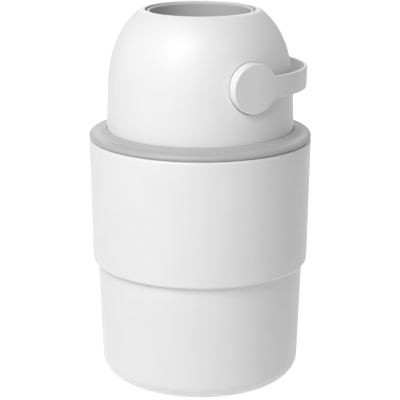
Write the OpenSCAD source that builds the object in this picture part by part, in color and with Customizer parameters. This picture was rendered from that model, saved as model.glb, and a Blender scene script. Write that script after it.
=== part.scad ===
// Nappy bin with a turning airlock drum.
// +Z is up, the origin is the middle of the face it stands on, and the
// handle's pivot axis lies along Y. All sizes are in millimetres.

/* [Bin] */
// Outside diameter at the rim
bin_top_d = 240; // [216:1:264]
// How much less the upper body's diameter is at the step than at the rim
upper_taper = 4; // [0:0.5:8]
// Width of the ledge at the step
step_w = 5.4; // [3:0.1:8]
// How much less the lower body's diameter is at the floor than at the step
lower_taper = 8.2; // [4:0.2:14]
// Height of the rim
bin_h = 265.4; // [240:0.2:300]
// Height of the moulded step
step_h = 130; // [90:1:160]
// Wall of the bin
bin_wall = 2.6; // [2:0.1:3.6]
// Thickness of the floor
floor_t = 3; // [2.4:0.1:5]
// Outside radius between floor and wall
base_fillet = 19; // [10:1:24]
// Outside radius under the step
step_fillet = 2.5; // [1:0.1:3.5]
// Inward width of the rim that the shoulder ring stands on
rim_w = 6.5; // [5:0.1:9]
// Height that the middle of the base is raised above the standing rim
base_recess = 1.6; // [1:0.1:2.4]

/* [Shoulder ring] */
// Height of the ring's rounded outer bead
ring_bead_h = 6.8; // [5:0.1:9]
// Depth of the shallow groove inside the bead
ring_groove = 2; // [1:0.1:3]
// Wall of the ring
ring_wall = 2.4; // [2:0.1:3.2]
// Width of the shelf that the dome stands on, round the bore that the bag hangs through
shelf_w = 21.4; // [20:0.1:23]
// Depth of the skirt that plugs into the bin
ring_skirt = 12; // [8:1:20]

/* [Dome] */
// Width of the shoulder from the rim's outside to the foot of the dome
shoulder_w = 18.6; // [17:0.1:20]
// Wall of the dome
dome_wall = 2.5; // [2.2:0.1:2.8]
// Draft of the dome's straight foot in degrees
dome_draft = 2.3; // [2:0.1:2.6]
// Radius of the long curve above the foot
dome_side_r = 134; // [121:1:147]
// Radius of the shoulder curve
dome_shoulder_r = 84; // [76:0.5:92]
// Radius of the curve into the mouth
dome_lip_r = 11.8; // [10.6:0.2:13]
// Diameter of the mouth
mouth_d = 118; // [107:0.5:129]

/* [Drum] */
// Width of the dark gap between the mouth and the drum
drum_gap = 1.8; // [1.5:0.1:2.2]
// Wall of the drum
drum_wall = 2; // [1.8:0.1:2.4]
// How far each rim reaches inwards to hold the plunger
rim_lip = 1.4; // [1:0.1:2]
// Height of each rim piece
drum_rim_h = 9; // [7:0.5:12]
// Room between the dome's wall at its foot and the inside of the round chamber
chamber_room = 9.7; // [9:0.1:10.6]
// Wall of the chamber halves
chamber_wall = 2; // [1.6:0.1:2.2]
// Radial thickness of the two rubber mouth seals
seal_t = 2.2; // [1.6:0.1:3]
// Width of the mouth seals
seal_w = 4.6; // [3:0.1:5]

/* [Plunger] */
// Height of the plunger
plunger_h = 20; // [14:1:30]
// Wall of the plunger's halves
plunger_wall = 2.2; // [1.6:0.1:3]

/* [Handle] */
// Room for fingers between the strap's far bend and the foot of the dome
finger_room = 14.1; // [12:0.1:16]
// Height of a disc's face above the floor of its recess
disc_h = 11.4; // [10.4:0.1:12.4]
// Diameter of the two discs
disc_d = 52.8; // [48:0.2:56]
// Width of the strap
strap_w = 23.5; // [18:0.5:28]
// Thickness of the strap
strap_t = 4; // [3:0.1:5]
// How far the sides of the strap draw in from the discs to the far bend
strap_draw_in = 9.5; // [8:0.1:11]
// Angle that the strap hangs below level at rest
handle_droop = 2; // [0:0.5:3]
// Radius that blends the strap into each disc
blend_r = 13; // [8:0.5:18]
// Rounding of the disc's and strap's edges
handle_edge = 1.4; // [0.8:0.1:1.8]

/* [Pivots] */
// Diameter of the handle's journals
journal_d = 24; // [20:0.5:26]
// Width across the flats of the key on each journal
key_af = 14; // [12:0.5:15]
// Wall of the pivot bushes
bush_wall = 1.9; // [1.5:0.1:2.5]

/* [Fasteners] */
// Number of screws under the head
head_screw_count = 6; // [4:1:8]
// Thread diameter of the head screws
head_screw_d = 3.5; // [3:0.1:4]
// Thread diameter of the two handle screws
handle_screw_d = 4; // [3.5:0.1:4.5]
// Length of the handle screws
handle_screw_l = 20; // [16:1:24]

/* [Fits] */
// Gap between pieces that are only laid together
seat_gap = 0.3; // [0.3:0.05:0.6]
// Radial gap in the pivot bushes
running_gap = 0.1; // [0.05:0.01:0.15]
// Gap around the discs and the dome's foot that shows as a dark line
shadow_gap = 0.8; // [0.6:0.1:1]
// Gap between the ends of the turning drum and the chamber
sweep_gap = 0.63; // [0.6:0.01:0.7]

/* [Hidden] */
$fn = 128;

// How far a cut runs past the face it opens, and how far joined bars run into each other.
past = 1;
lap = 0.5;
// Radii of moulded edges, from the finest, and of inner fillets.
edge_s = 0.5;
edge_m = 0.8;
edge_l = 1;
fillet_s = 1.5;
fillet_m = 2;

white = [0.94, 0.94, 0.94];
pale_grey = [0.76, 0.76, 0.76];
dark_grey = [0.36, 0.36, 0.37];
steel = [0.75, 0.76, 0.78];

// ---- shapes used by many pieces ----

function unit(v) = v / norm(v);
function turn(a, b) = a.x * b.y - a.y * b.x;

// Centre and the two touching points of a corner rounded with radius r.
function corner(p0, p1, p2, r) =
    let(u = unit(p0 - p1), v = unit(p2 - p1), half = acos(u * v) / 2)
    [p1 + unit(u + v) * r / sin(half), p1 + u * r / tan(half), p1 + v * r / tan(half)];

// An outline, anticlockwise, from [x, y, radius] points: true arcs at the corners.
module outline(pts) {
    n = len(pts);
    xy = [for (p = pts) [p.x, p.y]];
    difference() {
        union() {
            polygon(xy);
            for (i = [0:n - 1]) corner_piece(xy, pts[i][2], i, n, -1);
        }
        for (i = [0:n - 1]) corner_piece(xy, pts[i][2], i, n, 1);
    }
}

// What a rounded corner removes outside (side 1) or adds inside (side -1).
module corner_piece(xy, r, i, n, side) {
    p0 = xy[(i + n - 1) % n];
    p1 = xy[i];
    p2 = xy[(i + 1) % n];
    if (r > 0 && turn(p1 - p0, p2 - p1) * side > 0) {
        c = corner(p0, p1, p2, r);
        lap = side > 0 ? 0.2 : 0.1;
        tip = p1 + unit(p1 - c[0]) * lap * 2;
        a = c[1] + unit(c[1] - c[0]) * lap;
        b = c[2] + unit(c[2] - c[0]) * lap;
        difference() {
            polygon(side > 0 ? [c[0], a, tip, b] : [c[0], b, tip, a]);
            translate(c[0]) circle(r);
        }
    }
}

module revolve(pts) {
    rotate_extrude() outline(pts);
}

// A ring of rectangular section.
module ring(outer_r, inner_r, z0, z1) {
    translate([0, 0, z0]) difference() {
        cylinder(r = outer_r, h = z1 - z0);
        translate([0, 0, -past]) cylinder(r = inner_r, h = z1 - z0 + 2 * past);
    }
}

// Copies at both ends of the pivot axis: the front end, then the rear end.
module front_end() {
    translate([0, 0, pivot_h]) rotate([90, 0, 0]) children();
}

module rear_end() {
    rotate([0, 0, 180]) front_end() children();
}

// ---- bin ----

bin_top_r = bin_top_d / 2;
bin_step_r = bin_top_r - upper_taper / 2;
bin_lower_r = bin_step_r - step_w;
bin_base_r = bin_lower_r - lower_taper / 2;
rim_fillet = 2.8;
rim_ledge_h = 7;
upper_slope = upper_taper / 2 / (bin_h - step_h);
lower_slope = lower_taper / 2 / step_h;
inner_lower_r = bin_lower_r - bin_wall;
inner_step_r = bin_step_r + upper_slope * bin_wall - bin_wall;
inner_top_r = bin_top_r - bin_wall;
rim_inner_r = bin_top_r - rim_w;
foot_r = bin_base_r - base_fillet;
foot_w = 9;

module bin_outer() {
    revolve([[0, 0, 0], [bin_base_r, 0, base_fillet],
        [bin_lower_r, step_h, edge_l],
        [bin_step_r, step_h, step_fillet],
        [bin_top_r, bin_h, rim_fillet], [0, bin_h, 0]]);
}

module bin_inner() {
    floor_r = bin_base_r + lower_slope * floor_t - bin_wall;
    revolve([[0, floor_t + base_recess, 0],
        [floor_r, floor_t + base_recess, base_fillet - bin_wall],
        [inner_lower_r, step_h + bin_wall, fillet_m],
        [inner_step_r, step_h + bin_wall, fillet_s],
        [inner_top_r - upper_slope * rim_ledge_h * 2, bin_h - rim_ledge_h * 2, fillet_m],
        [rim_inner_r, bin_h - rim_ledge_h, edge_l],
        [rim_inner_r, bin_h + past, 0], [0, bin_h + past, 0]]);
}

module bin_body() color(white) {
    difference() {
        bin_outer();
        bin_inner();
        // raised middle of the base, inside the standing rim
        translate([0, 0, -past]) cylinder(r = foot_r - foot_w, h = past + base_recess);
    }
    base_ribs();
}

// Flat radial ribs under the raised base stop it dishing.
rib_t = 1.8;
rib_count = 8;
rib_rise = 0.4;
hub_r = 14;

module base_ribs() {
    difference() {
        union() {
            for (i = [0:rib_count - 1]) rotate([0, 0, (i + 0.5) * 360 / rib_count])
                translate([hub_r - past, -rib_t / 2, rib_rise])
                    cube([foot_r - foot_w - hub_r + 2 * past, rib_t, base_recess]);
            ring(hub_r, hub_r - rib_t, rib_rise, base_recess + rib_rise);
        }
        ring(foot_r, foot_r - foot_w + lap, -past, base_recess + past);
    }
}

// ---- shoulder ring and bag hoop ----

ring_z0 = bin_h + seat_gap;
ring_inset = 0.1;
ring_outer_r = bin_top_r - ring_inset;
ring_top_z = ring_z0 + ring_bead_h;
dome_foot_r = bin_top_r - shoulder_w;
ring_bore_r = dome_foot_r - shelf_w;
shelf_rise = 4.8;
shelf_z = ring_z0 + shelf_rise;
foot_z = shelf_z + seat_gap;
collar_r = dome_foot_r + shadow_gap;
collar_h = 4.3;
collar_z = ring_top_z + collar_h;
groove_w = 7.4;
groove_r = collar_r + groove_w;
bead_r = 4.2;
bead_under = 2.2;
groove_fillet = 5;
collar_slope = 1.2;
cone_w = 6;
skirt_r = rim_inner_r - seat_gap;
seal_band_t = 1.2;
seal_band_h = 3;
seal_band_drop = 5.5;
seal_band_z = ring_z0 - seal_band_drop;
// the flange under the shelf that the bag's edge is pinched against
bag_flange_in = 10.4;
bag_flange_r = skirt_r - ring_wall - bag_flange_in;
bag_flange_drop = 12.5;
bag_flange_z = shelf_z - bag_flange_drop;

module bag_ring() color(pale_grey) {
    inner_r = bag_flange_r - ring_wall;
    revolve([[ring_bore_r, shelf_z - ring_wall, edge_l],
        [inner_r, shelf_z - ring_wall, edge_l],
        [inner_r, bag_flange_z, edge_m],
        [bag_flange_r, bag_flange_z, edge_m],
        [bag_flange_r, shelf_z - ring_wall, edge_l],
        [skirt_r - ring_wall - cone_w, shelf_z - ring_wall, fillet_m],
        [skirt_r - ring_wall, ring_z0 - ring_wall, fillet_s],
        [skirt_r - ring_wall, ring_z0 - ring_skirt, edge_m],
        [skirt_r, ring_z0 - ring_skirt, edge_m],
        [skirt_r, seal_band_z, 0],
        [skirt_r - seal_band_t, seal_band_z, 0],
        [skirt_r - seal_band_t, seal_band_z + seal_band_h, 0],
        [skirt_r, seal_band_z + seal_band_h, 0],
        [skirt_r, ring_z0, edge_s],
        [ring_outer_r - bead_under * 1.1, ring_z0, 0],
        [ring_outer_r, ring_z0 + bead_under, fillet_m],
        [ring_outer_r, ring_top_z, bead_r],
        [groove_r + bead_r, ring_top_z, groove_fillet],
        [groove_r, ring_top_z - ring_groove, groove_fillet],
        [collar_r + collar_slope, collar_z, edge_l],
        [collar_r, collar_z, edge_s],
        [collar_r, shelf_z, edge_m],
        [ring_bore_r, shelf_z, edge_l]]);
}

// The hoop that pinches the bag's edge against the inside of the flange.
hoop_r = bag_flange_r - ring_wall - seat_gap;
hoop_t = 2.2;
hoop_h = 9;
hoop_z = bag_flange_z - lap;
hoop_tab_w = 22;
hoop_tab_l = 7;

module bag_hoop() color(pale_grey) {
    revolve([[hoop_r - hoop_t, hoop_z, edge_m],
        [hoop_r, hoop_z, edge_m],
        [hoop_r, hoop_z + hoop_h, edge_s],
        [hoop_r - hoop_t, hoop_z + hoop_h, edge_s]]);
    // two finger tabs that pull it out
    for (a = [90, 270]) rotate([0, 0, a])
        translate([hoop_r - hoop_t - hoop_tab_l, 0, hoop_z]) hoop_tab();
}

module hoop_tab() {
    chamfer = 6;
    difference() {
        translate([0, -hoop_tab_w / 2, 0]) cube([hoop_tab_l + lap, hoop_tab_w, hoop_t]);
        for (s = [-1, 1]) translate([0, s * hoop_tab_w / 2, -past]) rotate([0, 0, 45])
            cube([chamfer, chamfer, 2 * (hoop_t + past)], center = true);
    }
}

// Soft band in a groove round the skirt, which keeps smells in.
module ring_gasket() color(dark_grey) {
    ring(skirt_r + seat_gap / 3, skirt_r - seal_band_t, seal_band_z, seal_band_z + seal_band_h);
}

// ---- dome ----

// The airlock: the chamber follows the dome's foot, and the drum's axis stands so high
// above the shelf that the outlet at the bottom of the chamber is as wide as the mouth.
mouth_r = mouth_d / 2;
chamber_r = dome_foot_r - dome_wall - chamber_room;
mouth_rise = sqrt(pow(chamber_r, 2) - pow(mouth_r, 2));
outlet_drop = 3.4;
outlet_z = shelf_z - outlet_drop;
pivot_h = outlet_z + mouth_rise;
lip_rise = 3.1;
dome_top_h = pivot_h + mouth_rise + lip_rise;

// Centres of the three curves of the dome's outside. The shoulder's curve touches the
// side's and the lip's, so its centre lies at known distances from both of theirs.
side_drop = 8;
side_z0 = pivot_h - side_drop;
side_a0 = dome_draft;
side_r0 = dome_foot_r - (side_z0 - foot_z) * tan(dome_draft);
mouth_edge = 0.6;
side_c = [side_r0, side_z0] - dome_side_r * [cos(side_a0), sin(side_a0)];
lip_c = [mouth_r + mouth_edge, dome_top_h - dome_lip_r];
shoulder_c = reach_from(side_c, dome_side_r - dome_shoulder_r, lip_c, dome_shoulder_r - dome_lip_r);
side_a1 = bearing(shoulder_c - side_c);
shoulder_a1 = bearing(lip_c - shoulder_c);

function along(c, r, a) = c + r * [cos(a), sin(a)];
function bearing(v) = atan2(v.y, v.x);
// The point at distance m from a and n from b, to the right of the way from a to b.
function reach_from(a, m, b, n) =
    let(d = norm(b - a), u = unit(b - a), x = (d * d + m * m - n * n) / 2 / d)
    a + x * u + sqrt(m * m - x * x) * [u.y, -u.x];

// A sector of a curve's circle that stops a hair short of both of its angles.
module sector(c, r, a0, a1, hair0, hair1) {
    far = 2 * r;
    b0 = a0 + hair0 / r * 90 / PI;
    b1 = a1 - hair1 / r * 90 / PI;
    intersection() {
        translate(c) circle(r, $fn = 256);
        polygon([c, along(c, far, b0), along(c, far, (b0 + b1) / 2), along(c, far, b1)]);
    }
}

// Half section of the dome's outside, shrunk inwards by t. Where two curves meet, the
// outline runs straight for a hair on both sides, so that their ends never have to match.
module dome_half(t, z_low) {
    wide = 1;
    fine = 0.5;
    function tangent(a) = [-sin(a), cos(a)];
    side_start = along(side_c, dome_side_r - t, side_a0);
    side_end = along(side_c, dome_side_r - t, side_a1);
    shoulder_end = along(shoulder_c, dome_shoulder_r - t, shoulder_a1);
    top = lip_c.y + dome_lip_r - t;
    polygon([[0, z_low], [dome_foot_r - t + (foot_z - z_low) * tan(dome_draft), z_low],
        side_start + wide * tangent(side_a0),
        side_end - wide * tangent(side_a1), side_end + wide * tangent(side_a1),
        shoulder_end - fine * tangent(shoulder_a1), shoulder_end + fine * tangent(shoulder_a1),
        [lip_c.x + fine, top], [0, top]]);
    intersection() {
        union() {
            sector(side_c, dome_side_r - t, side_a0, side_a1, wide, wide);
            sector(shoulder_c, dome_shoulder_r - t, side_a1, shoulder_a1, wide, fine);
            sector(lip_c, dome_lip_r - t, shoulder_a1, 90, fine, fine);
        }
        translate([mouth_r - dome_lip_r, side_z0 - side_drop])
            square([dome_foot_r, 2 * chamber_r]);
    }
}

recess_r = disc_d / 2 + shadow_gap;
recess_in = 8.8;
recess_y = dome_foot_r - recess_in;
pad_w = 3;
pad_r = recess_r + pad_w;
pad_t = 2.4;
pad_y = recess_y - pad_t;
boss_h = 4.2;
boss_inner_y = pad_y - boss_h;
boss_wall = 3.4;
bush_outer_r = journal_d / 2 + running_gap + bush_wall;
boss_r = bush_outer_r + boss_wall;
screw_in = 9.8;
screw_r = dome_foot_r - screw_in;
screw_boss_r = 4.4;
thread_bite = 0.1;
screw_slack = 0.25;
screw_room = 1.5;
// the bosses end where they would come within this much of the chamber
boss_room = 2.2;
screw_boss_top = pivot_h
    - sqrt(pow(chamber_r + chamber_wall, 2) - pow(screw_r - screw_boss_r - boss_room, 2));
rim_seat_w = 9;
rim_seat_r = mouth_r + rim_seat_w;
rim_seat_rise = sqrt(pow(chamber_r, 2) - pow(rim_seat_r, 2));

module dome_shell() color(white) {
    difference() {
        rotate_extrude() dome_half(0, foot_z);
        dome_cavity();
        for (a = [0, 180]) rotate([0, 0, a]) front_end() rotate([0, 0, 40]) {
            translate([0, 0, recess_y]) cylinder(r = recess_r, h = dome_foot_r - recess_y);
            translate([0, 0, boss_inner_y - past])
                cylinder(r = bush_outer_r, h = recess_y - boss_inner_y + 2 * past);
        }
        screw_holes(foot_z, head_screw_d / 2 - thread_bite);
    }
}

// The hollow of the dome, less the pads and bosses that stand in it.
module dome_cavity() {
    difference() {
        rotate_extrude() cavity_section();
        dome_pads();
        screw_bosses();
    }
}

// Half section of the hollow: the space above the round chamber, the chamber
// itself where it meets the thick rim round the mouth, the seal's groove and the mouth.
module cavity_section() {
    difference() {
        dome_half(dome_wall, foot_z - past);
        translate([0, pivot_h + rim_seat_rise - 2 * rim_seat_w]) square([rim_seat_r, chamber_r]);
    }
    intersection() {
        translate([0, pivot_h]) circle(chamber_r, $fn = 256);
        translate([0, pivot_h + rim_seat_rise - 3 * rim_seat_w])
            square([rim_seat_r + rim_seat_w, chamber_r]);
    }
    translate([0, pivot_h + rim_seat_rise - rim_seat_w]) square([mouth_r, chamber_r]);
    // rounded inner edge of the mouth
    difference() {
        translate([mouth_r - past, dome_top_h - mouth_edge]) square([past + mouth_edge, 2 * past]);
        translate([mouth_r + mouth_edge, dome_top_h - mouth_edge]) circle(mouth_edge);
    }
    seal_section();
}

// Flat pads behind the discs, with a boss for each bush.
module dome_pads() {
    for (a = [0, 180]) rotate([0, 0, a]) front_end() rotate([0, 0, 50]) {
        translate([0, 0, pad_y]) cylinder(r = pad_r, h = dome_foot_r - pad_y);
        translate([0, 0, boss_inner_y]) cylinder(r = boss_r, h = dome_foot_r - boss_inner_y);
    }
}

// Screw bosses, each tied to the wall by a web.
module screw_bosses() {
    web_t = 2.4;
    z0 = base_plate_z + base_plate_t;
    for (i = [0:head_screw_count - 1]) rotate([0, 0, (i + 0.5) * 360 / head_screw_count]) {
        translate([screw_r, 0, z0]) cylinder(r = screw_boss_r, h = screw_boss_top - z0);
        translate([screw_r, -web_t / 2, z0])
            cube([dome_foot_r - screw_r, web_t, screw_boss_top - z0]);
    }
}

module screw_holes(z0, r) {
    for (i = [0:head_screw_count - 1]) rotate([0, 0, (i + 0.5) * 360 / head_screw_count])
        translate([screw_r, 0, z0 - past])
            cylinder(r = r, h = base_plate_z + head_screw_l + screw_room + past - z0);
}

// ---- round chamber ----

gasket_t = 1.8;
base_plate_z = shelf_z + seat_gap + gasket_t;
base_plate_t = 2.6;
base_plate_gap = 0.5;
base_plate_r = dome_foot_r - dome_wall - base_plate_gap;
base_plate_in_r = sqrt(pow(chamber_r + chamber_wall / 2, 2) - pow(pivot_h - base_plate_z, 2));
flange_t = 2.4;
flange_w = 5.2;
flange_r = chamber_r + flange_w;
notch_r = boss_r + seat_gap;
upper_liner_r = rim_seat_r + seat_gap;
spout_t = 2.2;
seal_in = 2;
spout_collar_r = mouth_r + seal_w + 2 * seal_in;
base_seat_w = 12.7;
base_seat_h = 9;
base_seat_r = mouth_r + base_seat_w;
lower_liner_r = base_seat_r + seat_gap;
spout_drop = 9.1;
spout_z = outlet_z - spout_drop;
spout_step = 3;
plate_rib_t = 1.8;
plate_rib_count = 12;

// Half section of the round chamber's wall.
module chamber_wall_half(inner, outer) {
    difference() {
        translate([0, pivot_h]) circle(outer, $fn = 256);
        translate([0, pivot_h]) circle(inner, $fn = 256);
    }
}

// Room for the bushes' bosses and the dome's pads.
module pivot_notches() {
    for (a = [0, 180]) rotate([0, 0, a]) front_end() rotate([0, 0, 30]) {
        translate([0, 0, hub_end_y]) cylinder(r = notch_r, h = dome_foot_r - hub_end_y);
        translate([0, 0, pad_y - seat_gap])
            cylinder(r = pad_r + seat_gap, h = dome_foot_r - pad_y);
    }
}

module upper_chamber() color(pale_grey) {
    difference() {
        rotate_extrude() {
            intersection() {
                chamber_wall_half(chamber_r, chamber_r + chamber_wall);
                translate([upper_liner_r, pivot_h]) square([chamber_r, 2 * chamber_r]);
            }
            translate([chamber_r + chamber_wall / 2, pivot_h])
                square([flange_r - chamber_r - chamber_wall / 2, flange_t]);
        }
        pivot_notches();
    }
}

module lower_chamber() color(pale_grey) {
    difference() {
        rotate_extrude() {
            intersection() {
                chamber_wall_half(chamber_r, chamber_r + chamber_wall);
                translate([lower_liner_r, pivot_h - 2 * chamber_r]) square([chamber_r, 2 * chamber_r]);
            }
            translate([chamber_r + chamber_wall / 2, pivot_h - flange_t])
                square([flange_r - chamber_r - chamber_wall / 2, flange_t]);
        }
        pivot_notches();
    }
}

// The plate that closes the head: it carries the lower chamber and the outlet's spout.
module base_plate() color(pale_grey) {
    difference() {
        union() {
            rotate_extrude() base_plate_section();
            plate_ribs();
        }
        screw_holes(base_plate_z, head_screw_d / 2 + screw_slack);
    }
}

module base_plate_section() {
    difference() {
        union() {
            translate([base_plate_in_r, base_plate_z])
                square([base_plate_r - base_plate_in_r, base_plate_t]);
            spout_half();
        }
        translate([0, pivot_h]) circle(chamber_r, $fn = 256);
        translate([0, 2 * pivot_h]) mirror([0, 1]) seal_section();
    }
}

// The spout that leads into the bag, thick at the top to hold the outlet seal.
module spout_half() {
    seat_top = base_plate_z + base_seat_h;
    polygon([[mouth_r, spout_z], [mouth_r + spout_t, spout_z],
        [mouth_r + spout_t, spout_z + spout_step], [spout_collar_r, spout_z + 2 * spout_step],
        [spout_collar_r, base_plate_z + lap], [base_seat_r, base_plate_z + lap],
        [base_seat_r, seat_top], [mouth_r, seat_top]]);
}

// Upright ribs on the base plate that carry the lower chamber, sloped at their outer ends.
module plate_ribs() {
    rib_h = 16;
    foot_in = 4;
    z0 = base_plate_z + past;
    z1 = base_plate_z + rib_h;
    difference() {
        for (i = [0:plate_rib_count - 1]) rotate([0, 0, (i + 0.5) * 360 / plate_rib_count])
            rotate([90, 0, 0]) translate([0, 0, -plate_rib_t / 2]) linear_extrude(plate_rib_t)
                polygon([[base_plate_in_r, z0], [base_plate_r - foot_in, z0],
                    [base_plate_r - 3 * foot_in, z1], [base_plate_in_r, z1]]);
        translate([0, 0, pivot_h]) sphere(r = chamber_r + chamber_wall + seat_gap, $fn = 160);
    }
}

// ---- seals ----

seal_r0 = mouth_r + seal_in;
seal_stand = 0.3;

// Half section of a mouth seal: a lip that stands a hair inside the chamber.
module seal_section() {
    intersection() {
        chamber_wall_half(chamber_r - seal_stand, chamber_r + seal_t);
        translate([seal_r0, pivot_h]) square([seal_w, 2 * chamber_r]);
    }
}

module mouth_seal() color(dark_grey) {
    rotate_extrude() seal_section();
}

module outlet_seal() color(dark_grey) {
    rotate_extrude() translate([0, 2 * pivot_h]) mirror([0, 1]) seal_section();
}

// Flat gasket under the base plate, pressed onto the shoulder ring's shelf.
gasket_w = 4.5;

module head_gasket() color(dark_grey) {
    inner_r = ring_bore_r + gasket_w / 3;
    ring(inner_r + gasket_w, inner_r, shelf_z + seat_gap, base_plate_z);
}

// ---- head screws ----

// half as long as the boss and the plate that it goes through
head_screw_l = (screw_boss_top - base_plate_z) / 2;

// A pan-headed screw with a crossed recess: head below z = 0, shank up.
module pan_screw(d, l) {
    head_h = d * 0.44;
    slot_w = d / 4;
    difference() {
        union() {
            cylinder(r = d / 2, h = l);
            translate([0, 0, -head_h]) cylinder(r = d * 0.95, h = head_h);
        }
        for (a = [0, 90]) rotate([0, 0, a])
            translate([-d * 0.55, -slot_w / 2, -head_h - past]) cube([d * 1.1, slot_w, past + head_h * 0.6]);
    }
}

module head_screws() color(steel) {
    for (i = [0:head_screw_count - 1]) rotate([0, 0, (i + 0.5) * 360 / head_screw_count])
        translate([screw_r, 0, base_plate_z]) pan_screw(head_screw_d - 0.3, head_screw_l);
}

// ---- pivot bushes ----

bush_inner_r = journal_d / 2 + running_gap;
bush_flange_t = 1.6;
hub_end_y = boss_inner_y - bush_flange_t - seat_gap;

module bush() {
    difference() {
        union() {
            translate([0, 0, boss_inner_y - bush_flange_t])
                cylinder(r = bush_outer_r, h = recess_y - boss_inner_y + bush_flange_t);
            translate([0, 0, boss_inner_y - bush_flange_t]) cylinder(r = boss_r, h = bush_flange_t);
        }
        translate([0, 0, hub_end_y]) cylinder(r = bush_inner_r, h = dome_foot_r - hub_end_y);
    }
}

module front_bush() color(dark_grey) {
    front_end() bush();
}

module rear_bush() color(dark_grey) {
    rear_end() bush();
}

// ---- drum ----

drum_r = mouth_r - drum_gap;
bore_r = drum_r - drum_wall;
lip_bore_r = bore_r - rim_lip;
// the rims' rounded edges sweep a sphere just inside the chamber
fit = 0.05;
rim_edge = (drum_r - lip_bore_r) / 2 - fit;
drum_l = 2 * (rim_edge
    + sqrt(pow(chamber_r - sweep_gap - rim_edge, 2) - pow(drum_r - rim_edge, 2)));
barrel_half_l = drum_l / 2 - drum_rim_h;
spigot_h = 5;
lip_h = 3.6;
hub_wall = 4;
hub_outer_r = key_af / 2 / cos(30) + hub_wall;
hub_in_y = sqrt(pow(drum_r, 2) - pow(hub_outer_r, 2)) - past;

module drum_barrel() color(pale_grey) {
    difference() {
        union() {
            translate([0, 0, pivot_h - barrel_half_l]) cylinder(r = drum_r, h = 2 * barrel_half_l);
            for (a = [0, 180]) rotate([0, 0, a]) front_end() drum_hub();
        }
        translate([0, 0, pivot_h - barrel_half_l - past])
            cylinder(r = bore_r, h = 2 * (barrel_half_l + past));
        // seats that the two rims snap onto
        for (s = [0, 1]) translate([0, 0, pivot_h]) mirror([0, 0, s])
            translate([0, 0, barrel_half_l - spigot_h])
                ring(drum_r + past, drum_r - drum_wall / 2, 0, spigot_h + past);
        turned_ends() {
            hub_socket();
            screw_bore();
        }
    }
}

// Copies at both ends of the pivot axis, turned with the handle's droop.
module turned_ends() {
    translate([0, 0, pivot_h]) rotate([0, handle_droop, 0])
        for (s = [0, 1]) mirror([0, s, 0]) rotate([90, 0, 0]) children();
}

// A hub with four webs on the outside of the drum.
module drum_hub() {
    translate([0, 0, hub_in_y - hub_wall])
        cylinder(r = hub_outer_r, h = hub_end_y - hub_in_y + hub_wall);
    for (a = [0:90:270]) rotate([0, 0, a]) hub_web();
}

module hub_web() {
    web_t = 1.8;
    web_w = 12;
    top = hub_end_y - web_w / 2;
    low = hub_in_y - 2 * hub_wall;
    rotate([90, 0, 0]) translate([0, 0, -web_t / 2]) linear_extrude(web_t)
        polygon([[0, low], [hub_outer_r + web_w, low], [hub_outer_r, top], [0, top]]);
}

key_in = 8.8;
key_in_y = bore_r + key_in;
screw_head_h = 2.4;

module hub_socket() {
    translate([0, 0, key_in_y])
        cylinder(r = key_af / 2 / cos(30) + fit, h = hub_end_y - key_in_y + past, $fn = 6);
}

module screw_bore() {
    z0 = hub_in_y - hub_wall;
    slack = 4 * fit;
    translate([0, 0, z0]) cylinder(r = handle_screw_d / 2 + slack, h = key_in_y + past - z0);
    translate([0, 0, z0]) cylinder(r = handle_screw_d + slack, h = bore_r + screw_head_h + slack - z0);
}

// A rim piece: the round edge seen in the mouth, and the lip that keeps the plunger in.
module drum_rim() {
    socket_r = drum_r - drum_wall / 2 + 2 * fit;
    socket_z = barrel_half_l - spigot_h + 4 * fit;
    revolve([[bore_r, barrel_half_l, 0],
        [socket_r, barrel_half_l, 0],
        [socket_r, socket_z, 0],
        [drum_r, socket_z, 0],
        [drum_r, drum_l / 2, rim_edge],
        [lip_bore_r, drum_l / 2, rim_edge],
        [lip_bore_r, drum_l / 2 - lip_h, edge_s / 2],
        [bore_r, drum_l / 2 - lip_h - rim_lip, 0]]);
}

module upper_drum_rim() color(pale_grey) {
    translate([0, 0, pivot_h]) drum_rim();
}

module lower_drum_rim() color(pale_grey) {
    translate([0, 0, pivot_h]) mirror([0, 0, 1]) drum_rim();
}

// ---- plunger, at rest on the lower rim's lip ----

plunger_gap = 0.5;
plunger_r = bore_r - plunger_gap;
plunger_edge = 3;
// the rounded edge rests on the sloped face of the lower rim's lip
plunger_z = pivot_h - drum_l / 2 + lip_h + (plunger_edge + seat_gap) * sqrt(2)
    - (lip_bore_r - plunger_r + plunger_edge) - plunger_edge;
seal_groove_w = 3;
seal_groove_d = 1.6;
plunger_rib_t = 1.6;
plunger_post_r = 6;
cup_r = plunger_r - seal_groove_d - plunger_wall;

// One cup, open upwards at the joint, with its base at z = 0.
module plunger_half() {
    half_h = plunger_h / 2;
    difference() {
        revolve([[0, 0, 0], [plunger_r, 0, plunger_edge], [plunger_r, half_h, 0], [0, half_h, 0]]);
        revolve([[0, plunger_wall, 0], [cup_r, plunger_wall, fillet_m],
            [cup_r, half_h + past, 0], [0, half_h + past, 0]]);
        ring(plunger_r + past, plunger_r - seal_groove_d, half_h - seal_groove_w / 2, half_h + past);
    }
    for (i = [0:5]) rotate([0, 0, i * 60]) translate([0, -plunger_rib_t / 2, plunger_wall - lap])
        cube([cup_r + lap, plunger_rib_t, half_h - plunger_wall + lap]);
    cylinder(r = plunger_post_r, h = half_h);
}

module plunger_lower_half() color(white) {
    translate([0, 0, plunger_z]) plunger_half();
}

module plunger_upper_half() color(white) {
    translate([0, 0, plunger_z + plunger_h]) mirror([0, 0, 1]) plunger_half();
}

module plunger_seal() color(dark_grey) {
    mid = plunger_z + plunger_h / 2;
    revolve([[plunger_r - seal_groove_d, mid - seal_groove_w / 2, 0],
        [plunger_r, mid - seal_groove_w / 2, edge_m / 2],
        [bore_r - 3 * fit, mid, edge_m],
        [plunger_r, mid + seal_groove_w / 2, edge_m / 2],
        [plunger_r - seal_groove_d, mid + seal_groove_w / 2, 0]]);
}

// ---- handle ----

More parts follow.
